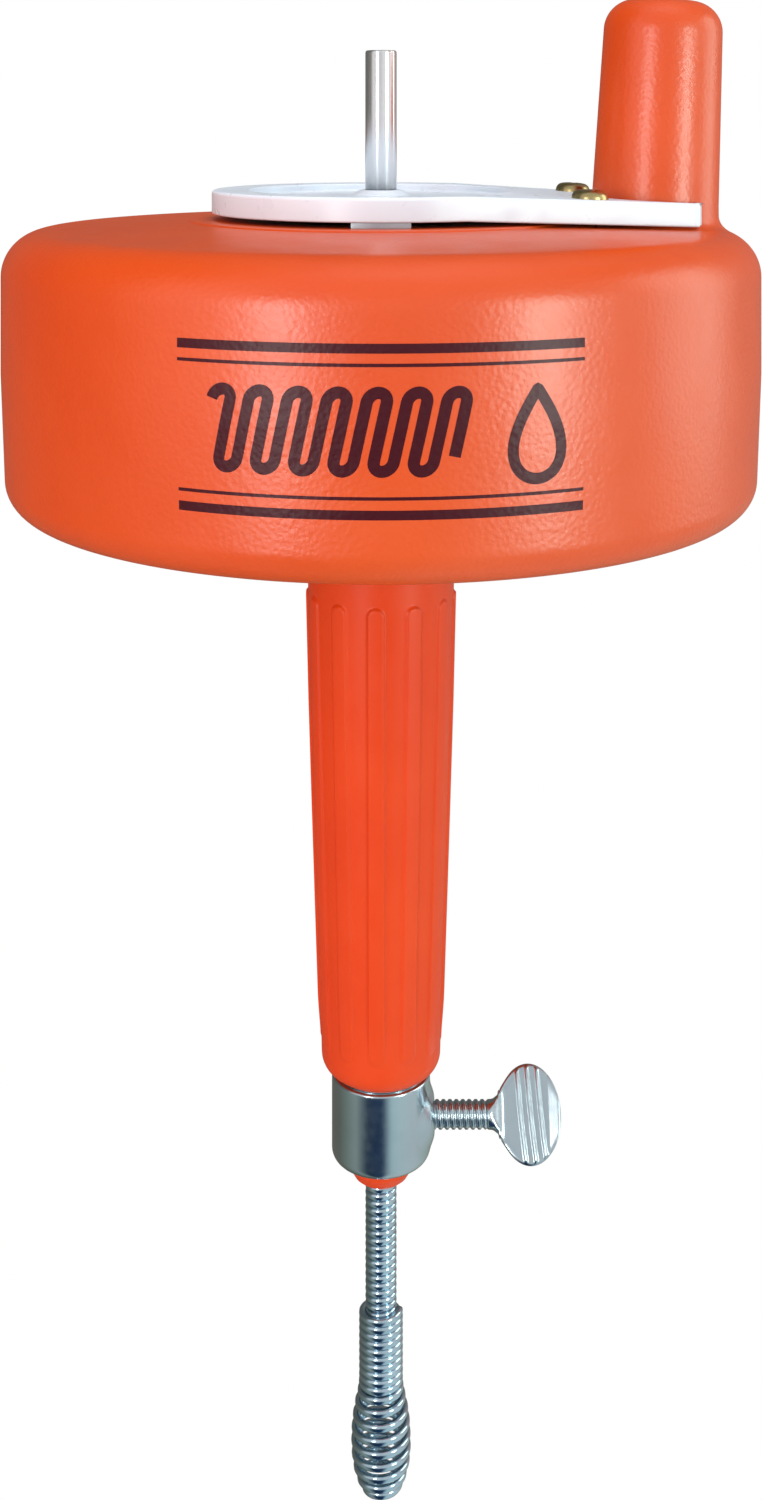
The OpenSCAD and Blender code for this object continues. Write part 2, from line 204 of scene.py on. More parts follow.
def srgb(r, g, b):
    """A linear colour from 0-255 display values."""
    def lin(c):
        c /= 255
        return c / 12.92 if c <= 0.04045 else ((c + 0.055) / 1.055) ** 2.4
    return lin(r), lin(g), lin(b), 1.0


class Shader:
    """A Principled material with short calls for procedural nodes."""

    def __init__(self, name, color, rough, metal=0.0, **inputs):
        self.mat = bpy.data.materials.new(name)
        self.mat.use_nodes = True
        self.tree = self.mat.node_tree
        self.bsdf = self.tree.nodes["Principled BSDF"]
        self.coord = self.tree.nodes.new("ShaderNodeTexCoord")
        self.bsdf.inputs["Base Color"].default_value = color
        self.bsdf.inputs["Roughness"].default_value = rough
        self.bsdf.inputs["Metallic"].default_value = metal
        for key, value in inputs.items():
            self.bsdf.inputs[key.replace("_", " ")].default_value = value

    def node(self, kind, **props):
        """A new node with its settings."""
        n = self.tree.nodes.new(kind)
        for key, value in props.items():
            setattr(n, key, value)
        return n

    def link(self, a, b):
        """Feeds output a into input b."""
        self.tree.links.new(a, b)

    def noise(self, scale, detail, rough=0.5):
        """Noise in object space, scale in cells per metre."""
        n = self.node("ShaderNodeTexNoise")
        n.inputs["Scale"].default_value = scale
        n.inputs["Detail"].default_value = detail
        n.inputs["Roughness"].default_value = rough
        self.link(self.coord.outputs["Object"], n.inputs["Vector"])
        return n.outputs["Fac"]

    def cells(self, scale):
        """Rounded cells in object space, scale in cells per metre."""
        n = self.node("ShaderNodeTexVoronoi", feature="SMOOTH_F1")
        n.inputs["Scale"].default_value = scale
        self.link(self.coord.outputs["Object"], n.inputs["Vector"])
        return n.outputs["Distance"]

    def ramp(self, value, stops):
        """Colour ramp over a value, stops are (position, colour)."""
        n = self.node("ShaderNodeValToRGB")
        ramp = n.color_ramp
        while len(ramp.elements) < len(stops):
            ramp.elements.new(0.5)
        for element, (pos, color) in zip(ramp.elements, stops):
            element.position = pos
            element.color = color
        self.link(value, n.inputs["Fac"])
        return n.outputs["Color"]

    def bump(self, height, distance, strength, after=None):
        """Bumped normal, distance in metres, on top of an earlier one when given."""
        n = self.node("ShaderNodeBump")
        n.inputs["Distance"].default_value = distance
        n.inputs["Strength"].default_value = strength
        self.link(height, n.inputs["Height"])
        if after is not None:
            self.link(after, n.inputs["Normal"])
        return n.outputs["Normal"]

    def mix(self, fac, a, b):
        """Colour from a to b by a linked factor."""
        n = self.node("ShaderNodeMix", data_type="RGBA")
        self.link(fac, n.inputs[0])
        n.inputs[6].default_value = a
        n.inputs[7].default_value = b
        return n.outputs[2]

    def set(self, name, value):
        """Feeds an input of the surface."""
        self.link(value, self.bsdf.inputs[name])


def grey(v):
    """A neutral colour."""
    return v, v, v, 1.0


def orange_shell():
    """Satin orange with a fine leather-like grain."""
    s = Shader("orange_shell", srgb(191, 65, 5), 0.34, Specular_IOR_Level=0.6)
    tint = s.ramp(s.noise(22, 4), [(0.3, srgb(188, 63, 4)), (0.7, srgb(193, 69, 7))])
    s.set("Base Color", tint)
    grain = s.cells(950)
    fine = s.noise(2600, 2)
    n = s.bump(grain, 0.00012, 0.5)
    n = s.bump(fine, 0.00006, 0.4, n)
    s.set("Normal", n)
    s.set("Roughness", s.ramp(s.noise(90, 4), [(0.3, grey(0.31)), (0.7, grey(0.37))]))
    return s.mat


def orange_grip():
    """Smoother orange of the grip and nose."""
    s = Shader("orange_grip", srgb(197, 57, 4), 0.4, Specular_IOR_Level=0.3)
    s.set("Base Color", s.ramp(s.noise(30, 4), [(0.3, srgb(195, 54, 3)), (0.7, srgb(200, 60, 5))]))
    s.set("Normal", s.bump(s.noise(1500, 3), 0.00004, 0.3))
    s.set("Roughness", s.ramp(s.noise(120, 4), [(0.3, grey(0.36)), (0.7, grey(0.46))]))
    return s.mat


def white_plastic():
    """Milky white plastic."""
    s = Shader("white_plastic", srgb(205, 217, 229), 0.32, Specular_IOR_Level=0.5,
               Subsurface_Weight=0.1, Subsurface_Scale=0.003)
    s.bsdf.inputs["Subsurface Radius"].default_value = (1.0, 0.9, 0.9)
    s.set("Roughness", s.ramp(s.noise(160, 4), [(0.3, grey(0.26)), (0.7, grey(0.38))]))
    s.set("Normal", s.bump(s.noise(420, 3), 0.00005, 0.25))
    return s.mat


def metal(name, color, rough, spread=0.08, bump=0.2):
    """A plated or bright metal; spread varies its roughness."""
    s = Shader(name, color, rough, 1.0)
    fac = s.noise(400, 4, 0.6)
    s.set("Roughness", s.ramp(fac, [(0.3, grey(rough - spread)), (0.7, grey(rough + spread))]))
    dim = tuple(c * 0.86 for c in color[:3]) + (1.0,)
    patches = s.ramp(s.noise(55, 4), [(0.35, grey(0.0)), (0.7, grey(1.0))])
    s.set("Base Color", s.mix(patches, color, dim))
    s.set("Normal", s.bump(fac, 0.00003, bump))
    return s.mat


def print_ink():
    """Dark maroon print."""
    s = Shader("print_ink", srgb(56, 3, 16), 0.36, Specular_IOR_Level=0.22)
    s.set("Normal", s.bump(s.cells(950), 0.00012, 0.5))
    return s.mat


def drawn_steel():
    """Bright bar whose turning marks pull every reflection along its length."""
    s = Shader("bright_steel", srgb(246, 249, 250), 0.28, 1.0,
               Anisotropic=1.0, Anisotropic_Rotation=0.25)
    tangent = s.node("ShaderNodeTangent", direction_type="RADIAL", axis="Z")
    s.set("Tangent", tangent.outputs[0])
    return s.mat


MAT = {
    "orange_shell": orange_shell(),
    "orange_grip": orange_grip(),
    "white_plastic": white_plastic(),
    "bright_steel": drawn_steel(),
    "zinc_steel": metal("zinc_steel", srgb(184, 198, 206), 0.21, 0.04, 0.03),
    "yellow_zinc": metal("yellow_zinc", srgb(184, 164, 116), 0.3, 0.08, 0.15),
    "spring_wire": metal("spring_wire", srgb(186, 208, 222), 0.15, 0.04, 0.04),
    "bearing_plastic": Shader("bearing_plastic", srgb(226, 222, 208), 0.4).mat,
    "brass": metal("brass", srgb(200, 164, 92), 0.3),
    "print_ink": print_ink(),
}


# ---------------------------------------------------------------- drum and knob

SHOULDER_C = (
    DRUM_R - SHOULDER_R,
    DRUM_TOP - (DRUM_R - SHOULDER_R + SHOULDER_R * math.sin(CROWN) - SEAT_R) * math.tan(CROWN)
    - SHOULDER_R * math.cos(CROWN),
)
KNOB_Z = DRUM_TOP - (KNOB_X - SEAT_R) * math.tan(CROWN)


def drum_surface(r):
    """Height of the drum's top at a radius."""
    r = np.asarray(r, float)
    cone = DRUM_TOP - (r - SEAT_R) * math.tan(CROWN)
    out = np.clip(r - SHOULDER_C[0], 0, SHOULDER_R)
    arch = SHOULDER_C[1] + np.sqrt(SHOULDER_R ** 2 - out ** 2)
    return np.where(r <= SHOULDER_C[0] + SHOULDER_R * math.sin(CROWN), cone, arch)


def drum_profile():
    """Closed half section of the drum's wall."""
    low_c = (DRUM_FOOT_R - FOOT_R, DRUM_LOW + FOOT_R)
    outer = [(OPENING_R, SEAT_Z - 0.5), (OPENING_R + 0.5, SEAT_Z), (40, SEAT_Z)]
    outer += [(SEAT_R - 0.9, SEAT_Z), (SEAT_R - 0.45, SEAT_Z - 0.08), (SEAT_R - 0.15, SEAT_Z - 0.28),
              (SEAT_R, SEAT_Z - 0.5), (SEAT_R + 0.2, DRUM_TOP + 0.06), (SEAT_R + 0.7, DRUM_TOP)]
    outer += [(r, float(drum_surface(r))) for r in (56, 63, 70, 77, 82)]
    outer += arc(*SHOULDER_C, SHOULDER_R, 87, 0, 24)
    outer += [(DRUM_R, z) for z in (-26, -32, -38, WALL_TAPER_Z)]
    outer += [(DRUM_R - (DRUM_R - DRUM_FOOT_R) * t, WALL_TAPER_Z + (low_c[1] - WALL_TAPER_Z) * t)
              for t in (0.25, 0.5, 0.75)]
    outer += arc(*low_c, FOOT_R, 0, -90, 20)
    outer += [(r, DRUM_LOW) for r in (70, 50, 30, 16)] + [(NECK_R + 0.1, DRUM_LOW)]
    inner = [(NECK_R + 0.1, DRUM_LOW + DRUM_WALL), (40, DRUM_LOW + DRUM_WALL)]
    inner += arc(*low_c, FOOT_R - DRUM_WALL, -90, 0, 10)
    inner += [(DRUM_R - DRUM_WALL, WALL_TAPER_Z)]
    inner += arc(*SHOULDER_C, SHOULDER_R - DRUM_WALL, 0, 87, 12)
    inner += [(OPENING_R, DRUM_TOP - DRUM_WALL)]
    return outer + inner


def knob_data():
    """The knob, its foot flowing into the drum's top."""
    segments = 128
    core = KNOB_H - KNOB_EDGE_R
    rings = []
    for a in np.radians(np.linspace(0, 90, 10)):
        rings.append((KNOB_FOOT_R + KNOB_FILLET * (1 - math.sin(a)), KNOB_FILLET * (1 - math.cos(a))))
    for h in np.linspace(KNOB_FILLET + 2, core, 14):
        rings.append((KNOB_FOOT_R + (KNOB_TOP_R - KNOB_FOOT_R) * h / core, h))
    rings += arc(KNOB_TOP_R - KNOB_EDGE_R, core, KNOB_EDGE_R, 4, 84, 14)
    rings += [(x, KNOB_H - 0.02 * (x < 5)) for x in (6.4, 5, 3, 1.2)]
    phi = np.arange(segments) * TAU / segments
    lean = math.tan(math.radians(KNOB_LEAN))
    verts = []
    for r, h in rings:
        x = KNOB_X + r * np.cos(phi) + lean * h
        y = r * np.sin(phi)
        drape = 1 - smoothstep(0, 10, h)
        sag = (drum_surface(np.hypot(x, y)) - KNOB_Z) * drape
        tilt = -np.cos(phi) * r * lean * smoothstep(2, 12, h)
        z = KNOB_Z + h + sag + tilt
        if h < 1e-6:
            z = z - 0.03
        verts += list(zip(x, y, z))
    return np.array(verts), capped_faces(len(rings), segments)


drum = make_mesh("drum_skin", *join_data([
    revolve_data(drum_profile(), 288, closed=True),
    knob_data(),
]))
weld(drum)
finish_piece(drum, MAT["orange_shell"], "rotor", "orange_shell", "drum_shell")


# ---------------------------------------------------------------- drive plate

def round_corners(points, radii):
    """Replaces each corner of a closed outline by an arc of about the given radius."""
    out = []
    count = len(points)
    for i, r in enumerate(radii):
        p = Vector(points[i])
        a = Vector(points[i - 1]) - p
        b = Vector(points[(i + 1) % count]) - p
        if r <= 0:
            out.append(tuple(p))
            continue
        half = a.angle(b) / 2
        cut = min(r / math.tan(half), a.length * 0.45, b.length * 0.45)
        s, e = p + a.normalized() * cut, p + b.normalized() * cut
        for t in np.linspace(0, 1, 8):
            out.append(tuple(s * (1 - t) ** 2 + p * 2 * t * (1 - t) + e * t ** 2))
    return out


def plate_outline():
    """Disc, arm and fork of the plate, anticlockwise from the fork's rear tine."""
    fork_r = KNOB_FOOT_R + 0.8
    tip = (ARM_END - 1.5, 17.7)
    start = math.degrees(math.acos(PLATE_R / math.hypot(*tip)) + math.atan2(tip[1], tip[0]))
    touch = (PLATE_R * math.cos(math.radians(start)), PLATE_R * math.sin(math.radians(start)))
    corners = [(70, 10), (ARM_END, 14.4), (ARM_END, 16.4), tip, touch]
    arm = round_corners(corners, [0, 0.5, 0.8, 0.8, 0])[1:-1]
    arm += [(tip[0] + (touch[0] - tip[0]) * t, tip[1] + (touch[1] - tip[1]) * t)
            for t in np.linspace(0.04, 0.98, 30)]
    disc = [(PLATE_R * math.cos(math.radians(a)), PLATE_R * math.sin(math.radians(a)))
            for a in np.linspace(start, 360 - start, 120)]
    mouth_y = 13.9
    mouth = math.degrees(math.atan2(mouth_y, math.sqrt(fork_r ** 2 - mouth_y ** 2)))
    fork = [(KNOB_X + fork_r * math.cos(math.radians(a)), fork_r * math.sin(math.radians(a)))
            for a in np.linspace(360 - mouth, mouth, 60)]
    lower = [(x, -y) for x, y in reversed(arm)]
    return arm + disc + lower + fork


def plate_z(x):
    """How far the arm has sloped down at x."""
    return -np.maximum(np.asarray(x, float) - ARM_X, 0) * math.tan(math.radians(ARM_TILT))


def plate_data():
    """The plate's side: its outline stacked in levels, with rounded edges at the foot and the top."""
    out = np.array(plate_outline())
    turning = np.sum(out[:, 0] * np.roll(out[:, 1], -1) - np.roll(out[:, 0], -1) * out[:, 1])
    edge = np.roll(out, -1, 0) - out
    edge /= np.linalg.norm(edge, axis=1)[:, None]
    normal = np.stack([edge[:, 1], -edge[:, 0]], -1) * np.sign(turning)
    normal = normal + np.roll(normal, 1, 0)
    normal /= np.linalg.norm(normal, axis=1)[:, None]
    low_r, top_r = 0.5, 0.9
    levels = []
    for a in np.radians(np.linspace(-90, 0, 5)):
        levels.append((low_r * (math.cos(a) - 1), -PLATE_T + low_r * (1 + math.sin(a))))
    for a in np.radians(np.linspace(0, 90, 7)):
        levels.append((top_r * (math.cos(a) - 1), -top_r * (1 - math.sin(a))))
    verts = []
    for inset, z in levels:
        p = out + normal * inset
        verts += [(x, y, z + float(plate_z(x))) for x, y in p]
    return np.array(verts), len(levels), len(out)


def build_plate():
    """Sides from the outline, caps filled by triangulation round the recess and the holes."""
    verts, rows, cols = plate_data()
    bm = bmesh.new()
    points = [bm.verts.new(Vector(v) * MM) for v in verts]
    for f in grid_faces(rows, cols):
        bm.faces.new([points[i] for i in f])
    phi = np.arange(144) * TAU / 144

    def loop(cx, cy, r, z):
        """A ring of points that follows the arm's slope."""
        return [bm.verts.new(Vector((cx + r * math.cos(p), cy + r * math.sin(p),
                                     z + float(plate_z(cx + r * math.cos(p))))) * MM) for p in phi]

    def edges_of(vs):
        """The edges round a closed row of points."""
        return [bm.edges.get((vs[i], vs[(i + 1) % len(vs)])) or
                bm.edges.new((vs[i], vs[(i + 1) % len(vs)])) for i in range(len(vs))]

    def bridge(a, b):
        """Faces between two rings."""
        for i in range(len(a)):
            j = (i + 1) % len(a)
            bm.faces.new((a[i], a[j], b[j], b[i]))

    top = [points[(rows - 1) * cols + i] for i in range(cols)]
    low = [points[i] for i in range(cols)]
    rim = loop(0, 0, RECESS_R + 0.4, 0)
    hole_r, seat_r = 2.2, PIN_SEAT_R + 0.05
    holes = [(loop(SCREW_X, s * SCREW_Y, hole_r, 0), loop(SCREW_X, s * SCREW_Y, hole_r, -PLATE_T))
             for s in (-1, 1)]
    pin_low = loop(0, 0, seat_r, -PLATE_T)
    bmesh.ops.triangle_fill(bm, use_beauty=True, edges=edges_of(top) + edges_of(rim)
                            + edges_of(holes[0][0]) + edges_of(holes[1][0]))
    bmesh.ops.triangle_fill(bm, use_beauty=True, edges=edges_of(low) + edges_of(pin_low)
                            + edges_of(holes[0][1]) + edges_of(holes[1][1]))
    for upper, lower in holes:
        bridge(upper, lower)
    steps = [(RECESS_R + 0.12, -0.12), (RECESS_R, -0.4), (RECESS_R - 0.1, -RECESS_D + 0.5),
             (RECESS_R - 0.25, -RECESS_D + 0.15), (RECESS_R - 0.6, -RECESS_D), (22, -RECESS_D),
             (9.0, -RECESS_D), (8.0, -RECESS_D + 0.08), (7.2, -RECESS_D + 0.4), (5.9, -0.42),
             (5.4, -0.18), (4.9, -0.1), (4.3, -0.1), (PIN_R + 0.05, -0.3), (PIN_R + 0.05, -2.15),
             (seat_r, -2.15)]
    ring = rim
    for r, z in steps:
        nxt = [bm.verts.new(Vector((r * math.cos(p), r * math.sin(p), z)) * MM) for p in phi]
        bridge(ring, nxt)
        ring = nxt
    bridge(ring, pin_low)
    sliver = 0.035 * MM
    bmesh.ops.remove_doubles(bm, verts=bm.verts, dist=sliver)
    face_outward(bm)
    mesh = bpy.data.meshes.new("plate_skin")
    bm.to_mesh(mesh)
    bm.free()
    obj = bpy.data.objects.new("plate_skin", mesh)
    bpy.context.scene.collection.objects.link(obj)
    mesh.polygons.foreach_set("use_smooth", [True] * len(mesh.polygons))
    mod = obj.modifiers.new("normals", "WEIGHTED_NORMAL")
    mod.keep_sharp = True
    return obj


finish_piece(build_plate(), MAT["white_plastic"], "rotor", "white_plastic", "drive_plate")


# ---------------------------------------------------------------- plate screws and pin

def screw_head_data(cx, cy, turn):
    """Pan head with a cross recess on the sloping arm, and the shank below."""
    rows, cols = 44, 96
    rho = np.concatenate([np.linspace(0.02, 0.86, 34), np.linspace(0.88, 1.0, rows - 34)])
    phi = np.arange(cols) * TAU / cols
    head_r, head_h, shank_r, point_r, shank_end = 4.5, 2.3, 2.0, 1.4, -13.9
    slot_half, slot_end, slot_core, slot_depth = 0.42, 2.25, 0.95, 1.15
    tilt = math.radians(ARM_TILT)
    verts = []
    for q in rho:
        r = q * head_r
        dome = head_h * (1 - 0.16 * q * q) * math.sqrt(max(0.0, 1 - q ** 7))
        for p in phi:
            u, v = r * math.cos(p - turn), r * math.sin(p - turn)
            arm = max(min(abs(u), abs(v)) - slot_half, max(abs(u), abs(v)) - slot_end)
            d = min(arm, math.hypot(u, v) - slot_core)
            shallow = 1 - 0.45 * min(1.0, math.hypot(u, v) / slot_end)
            cut = slot_depth * float(smoothstep(0.16, -0.16, d)) * shallow
            verts.append((r * math.cos(p), r * math.sin(p), 0.05 + max(dome - cut, 0.0)))
    below = [(head_r, 0.0), (shank_r, 0.0), (shank_r, shank_end), (point_r, shank_end - 0.6)]
    verts += [(r * math.cos(p), r * math.sin(p), z) for r, z in below for p in phi]
    out = []
    base = float(plate_z(cx))
    for x, y, z in verts:
        out.append((cx + x * math.cos(tilt) + z * math.sin(tilt), cy + y,
                    base - x * math.sin(tilt) + z * math.cos(tilt)))
    return np.array(out), capped_faces(rows + len(below), cols)


screws = make_mesh("plate_screw_heads", *join_data([
    screw_head_data(SCREW_X, -SCREW_Y, math.radians(24)),
    screw_head_data(SCREW_X, SCREW_Y, math.radians(-12)),
]))
weld(screws)
finish_piece(screws, MAT["yellow_zinc"], "rotor", "yellow_zinc", "plate_screws")


def pin_outline():
    """Half section of the pin: shank, seat in the plate, a narrow neck and the free length."""
    low = [(0, PIN_SHANK_END), (PIN_SHANK_R - PIN_SHANK_EDGE, PIN_SHANK_END),
           (PIN_SHANK_R, PIN_SHANK_END + PIN_SHANK_EDGE), (PIN_SHANK_R, PIN_SEAT_LOW)]
    seat = [(PIN_SEAT_R, PIN_SEAT_LOW), (PIN_SEAT_R, PIN_SEAT_TOP)]
    neck = [(PIN_NECK_R, PIN_SEAT_TOP), (PIN_NECK_R, 0)]
    free = [(PIN_R, 0), (PIN_R, 20), (PIN_R, PIN_TOP - PIN_EDGE_R - 0.05)]
    free += arc(PIN_R - PIN_EDGE_R, PIN_TOP - PIN_EDGE_R, PIN_EDGE_R, 0, 90, 6)
    return low + seat + neck + free + [(0, PIN_TOP)]


pin = weld(make_mesh("drive_pin_turned", *revolve_data(pin_outline(), 96)))
finish_piece(pin, MAT["bright_steel"], "rotor", "bright_steel", "drive_pin")


# ---------------------------------------------------------------- grip

def grip_radius(z):
    """Smooth radius of the grip between its ribs."""
    zs = [-224.2, -214, -207, -181, -156, -130, -105, -79]
    rs = [15.05, 15.2, 15.45, 16.3, 17.1, 17.9, 18.5, 19.1]
    return np.interp(z, zs, rs)


def rib_height(u, z):
    """Rib height at distance u from the rib's middle line."""
    half = RIB_W / 2
    over = np.maximum(np.abs(z - (RIB_TOP + RIB_LOW) / 2) - ((RIB_TOP - RIB_LOW) / 2 - half), 0)
    d = np.hypot(u, over) - half
    return RIB_H * smoothstep(0.35, -0.45, d) * (0.35 + 0.65 * smoothstep(RIB_LOW - 1, RIB_LOW + 12, z))


def grip_data():
    """The ribbed sleeve with a rounded lower end, its bore and its seats."""
    cols = 576
    phi = np.arange(cols) * TAU / cols
    zs = np.concatenate([
        [GRIP_TOP - 0.5], np.linspace(-81, -100, 6), np.linspace(-101, -106, 16),
        np.linspace(-108, -210, 52), np.linspace(-211, -217, 20), [-218.2]])
    foot_r = 5
    pitch = TAU / RIBS
    rows = [[(float(grip_radius(GRIP_TOP)) - 0.6, GRIP_TOP)] * cols]
    for z in zs:
        base = float(grip_radius(z))
        rel = (phi + math.pi / 2 - math.radians(RIB_PHASE) + pitch / 2) % pitch - pitch / 2
        bump = rib_height(rel * base, z)
        rows.append([(base + b, z) for b in bump])
    foot = arc(10.1, GRIP_LOW + foot_r, foot_r, 0, -90, 14)
    low_seat = [(11.6, GRIP_LOW), (11.3, GRIP_LOW + 0.3), (11.3, GRIP_LOW + 1.1), (9.2, GRIP_LOW + 1.1)]
    bore = [(9.2, -219), (12.5, -219), (12.5, -83.6)]
    top_seat = [(15.8, -83.6), (15.8, GRIP_TOP - 0.4), (16.2, GRIP_TOP)]
    rows += [[point] * cols for point in foot + low_seat + bore + top_seat]
    rows.append(rows[0])
    verts = [(r * math.cos(p), r * math.sin(p), z) for row in rows for p, (r, z) in zip(phi, row)]
    return np.array(verts), grid_faces(len(rows), cols)


grip = weld(make_mesh("grip_skin", *grip_data()))
finish_piece(grip, MAT["orange_grip"], "grip", "orange_grip", "grip_sleeve")


# ---------------------------------------------------------------- collar and thumbscrew

def collar_data():
    """Turned collar with a boss flowing out round the screw."""
    boss_x = 13.6
    cols = 256
    phi = np.arange(cols) * TAU / cols
    rows = [(NECK_R + 0.3, COLLAR_TOP), (COLLAR_R - 0.7, COLLAR_TOP)]
    rows += arc(COLLAR_R - 0.5, COLLAR_TOP - 0.5, 0.5, 80, 0, 5)
    rows += [(COLLAR_R, z) for z in np.linspace(COLLAR_TOP - 1, COLLAR_LOW + 2.9, 64)]
    rows += arc(COLLAR_R - 2.5, COLLAR_LOW + 2.5, 2.5, 0, -90, 10)
    rows += [(9.2, COLLAR_LOW), (8.6, COLLAR_LOW + 0.3), (NECK_R + 0.05, COLLAR_LOW + 1),
             (NECK_R + 0.05, COLLAR_TOP - 0.3)]
    rows.append(rows[0])
    verts = []
    for r, z in rows:
        for p in phi:
            x, y = r * math.cos(p), r * math.sin(p)
            if x > 0 and r > 11:
                rise = float(smoothstep(9.0, 4.0, math.hypot(y, z - CLAMP_Z)))
                x = max(x, boss_x * rise + x * (1 - rise))
            verts.append((x, y, z))
    return np.array(verts), grid_faces(len(rows), cols)


collar = weld(make_mesh("collar_skin", *collar_data()))
finish_piece(collar, MAT["zinc_steel"], "rotor", "zinc_steel", "collar")


def thread_data():
    """Thread of the thumbscrew as one true helix, with its plain tip."""
    cols = 72
    phi = np.arange(cols) * TAU / cols
    xs = np.arange(THREAD_X, SPADE_X + 0.4, 0.11)
    root = THREAD_R - 0.46
    tip_r = 1.45
    verts = []
    for x in xs:
        fade = float(smoothstep(THREAD_X, THREAD_X + 1.1, x))
        fade *= 1 - float(smoothstep(SPADE_X - 1.2, SPADE_X + 0.1, x))
        f = ((x - THREAD_X) / THREAD_P - phi / TAU) % 1.0
        crest = smoothstep(0.04, 0.34, f) * (1 - smoothstep(0.62, 0.92, f))
        r = root + (THREAD_R - root) * crest * fade
        verts += [(x, ri * math.cos(p), CLAMP_Z + ri * math.sin(p)) for ri, p in zip(r, phi)]
    tip = sweep_data([(x, 0, CLAMP_Z) for x in (5.9, 7, 8.6)], tip_r, 24)
    return join_data([(np.array(verts), capped_faces(len(xs), cols)), tip])


def spade_data():
    """Pressed head lofted from the round shank: a fan, a flat band with three ribs, a raised far side."""
    a, b, half = SPADE_W / 2, SPADE_H / 2, SPADE_T / 2
    rib_h, rib_half, tip_x = 0.36, 0.72, 7.2
    xs = np.concatenate([np.linspace(SPADE_X - 0.9 - SPADE_C, -5, 40), np.linspace(-4.9, 5.4, 104),
                         np.linspace(5.5, 7.6, 14), a * np.cos(np.linspace(0.28, 0.0, 9))])
    s = np.sin(np.linspace(-math.pi / 2, math.pi / 2, 61))
    verts = []
    for x in xs:
        oval = b * math.sqrt(max(0.0, 1 - (x / a) ** 2)) if x > -a else 0.0
        swell = 0.86 + 0.14 * float(smoothstep(-11.2, -10.4, x))
        shank = THREAD_R * (1 - float(smoothstep(-7.5, -4.5, x))) * swell
        high = math.hypot(oval, shank) if oval < shank else math.sqrt(oval * oval + shank * shank * 0.4)
        high += 0.9 * math.exp(-(x + 7.9) ** 2)
        flat = float(smoothstep(-10.4, -6.2, x))
        thick = THREAD_R * swell * (1 - flat) + half * flat
        power = 2 + 7 * flat
        tip = math.sqrt(max(0.0, 1 - (max(x - tip_x, 0) / (a - tip_x)) ** 2))
        lift = 0.34 * max(0.0, x - 4.9) * (1 - 0.2 * tip)
        z = s * max(high, 0.02)
        body = thick * tip * (1 - np.abs(s) ** power) ** (1 / max(power * 0.6, 2))
        ribs = 0
        for at in (-2.3, 0.25, 2.85):
            mid = at - 0.081 * z + 0.002 * z * z
            ribs = ribs + rib_h * smoothstep(rib_half, 0.0, np.abs(x - mid))
        body_f = body + ribs * flat * smoothstep(0.97, 0.9, np.abs(s)) + lift
        body_b = -body + lift
        verts += [(x, -f, v) for f, v in zip(body_f, z)]
        verts += [(x, -k, v) for k, v in zip(body_b[::-1], z[::-1])]
    verts = np.array(verts)
    t = math.radians(SPADE_TILT)
    y, z = verts[:, 1].copy(), verts[:, 2].copy()
    verts[:, 0] += SPADE_C
    verts[:, 1] = y * math.cos(t) + z * math.sin(t)
    verts[:, 2] = CLAMP_Z - y * math.sin(t) + z * math.cos(t)
    cols = 2 * len(s)
    faces = grid_faces(len(xs), cols)
    faces.append(tuple(range(cols - 1, -1, -1)))
    return verts, faces


thumb = weld(make_mesh("thumbscrew_wound", *join_data([thread_data(), spade_data()])))
finish_piece(thumb, MAT["zinc_steel"], "screw", "zinc_steel", "thumbscrew")


# ---------------------------------------------------------------- cable and head

def helix(z_from, z_to, radius, pitch, steps, phase=0.0):
    """Points down a right-handed helix; radius and pitch are functions of z."""
    pts, z, a = [], z_from, phase
    while z > z_to:
        pts.append((radius(z) * math.cos(a), radius(z) * math.sin(a), z))
        a -= TAU / steps
        z -= pitch(z) / steps
    return np.array(pts)


cable_path = helix(CABLE_TOP, CABLE_END, lambda z: CABLE_LINE_R, lambda z: CABLE_P, 28)
cable = make_mesh("cable_wound", *sweep_data(cable_path, WIRE_T / 2, 12, CABLE_FLAT))
finish_piece(cable, MAT["spring_wire"], "cable", "spring_wire", "cable_feed")


def head_radius(z):
    """Outside radius of the head's winding."""
    return float(np.interp(-z, (303, 305.5, 308.5, 311.5, 315, 320, 324, 327, 329.5, 331),
                           (SLEEVE_R, 5.8, 6.5, 7.1, 7.5, BULB_R, 7.3, 6.5, 5.5, 4.2)))


def head_pitch(z):
    """Close turns on the sleeve, open turns on the bulb, a closing turn at the end."""
    return float(np.interp(z, [-331, -329, -326, -309, -306, -303], [1.2, 2.2, 3.2, 3.2, 2.6, 1.93]))


head_path = helix(SLEEVE_Z - 1.0, BULB_Z + HEAD_WIRE / 2,
                  lambda z: head_radius(z) - HEAD_INSET, head_pitch, 44, phase=-0.1)
head_size = np.full(len(head_path), HEAD_WIRE / 2)
head_size[-5:] *= np.array([0.98, 0.92, 0.8, 0.6, 0.3])
head = make_mesh("bulb_wound", *sweep_data(head_path, head_size, 14, HEAD_FLAT))
finish_piece(head, MAT["spring_wire"], "cable", "spring_wire", "bulb_head")


# ---------------------------------------------------------------- print on the drum

def on_wall(u, v):
    """A point of the print: u along the wall from the front, v its height."""
    r = DRUM_R + PRINT_LIFT
    if v < WALL_TAPER_Z:
        r -= (DRUM_R - DRUM_FOOT_R) * (WALL_TAPER_Z - v) / PRINT_TAPER
    a = -math.pi / 2 + u / DRUM_R
    return r * math.cos(a), r * math.sin(a), v


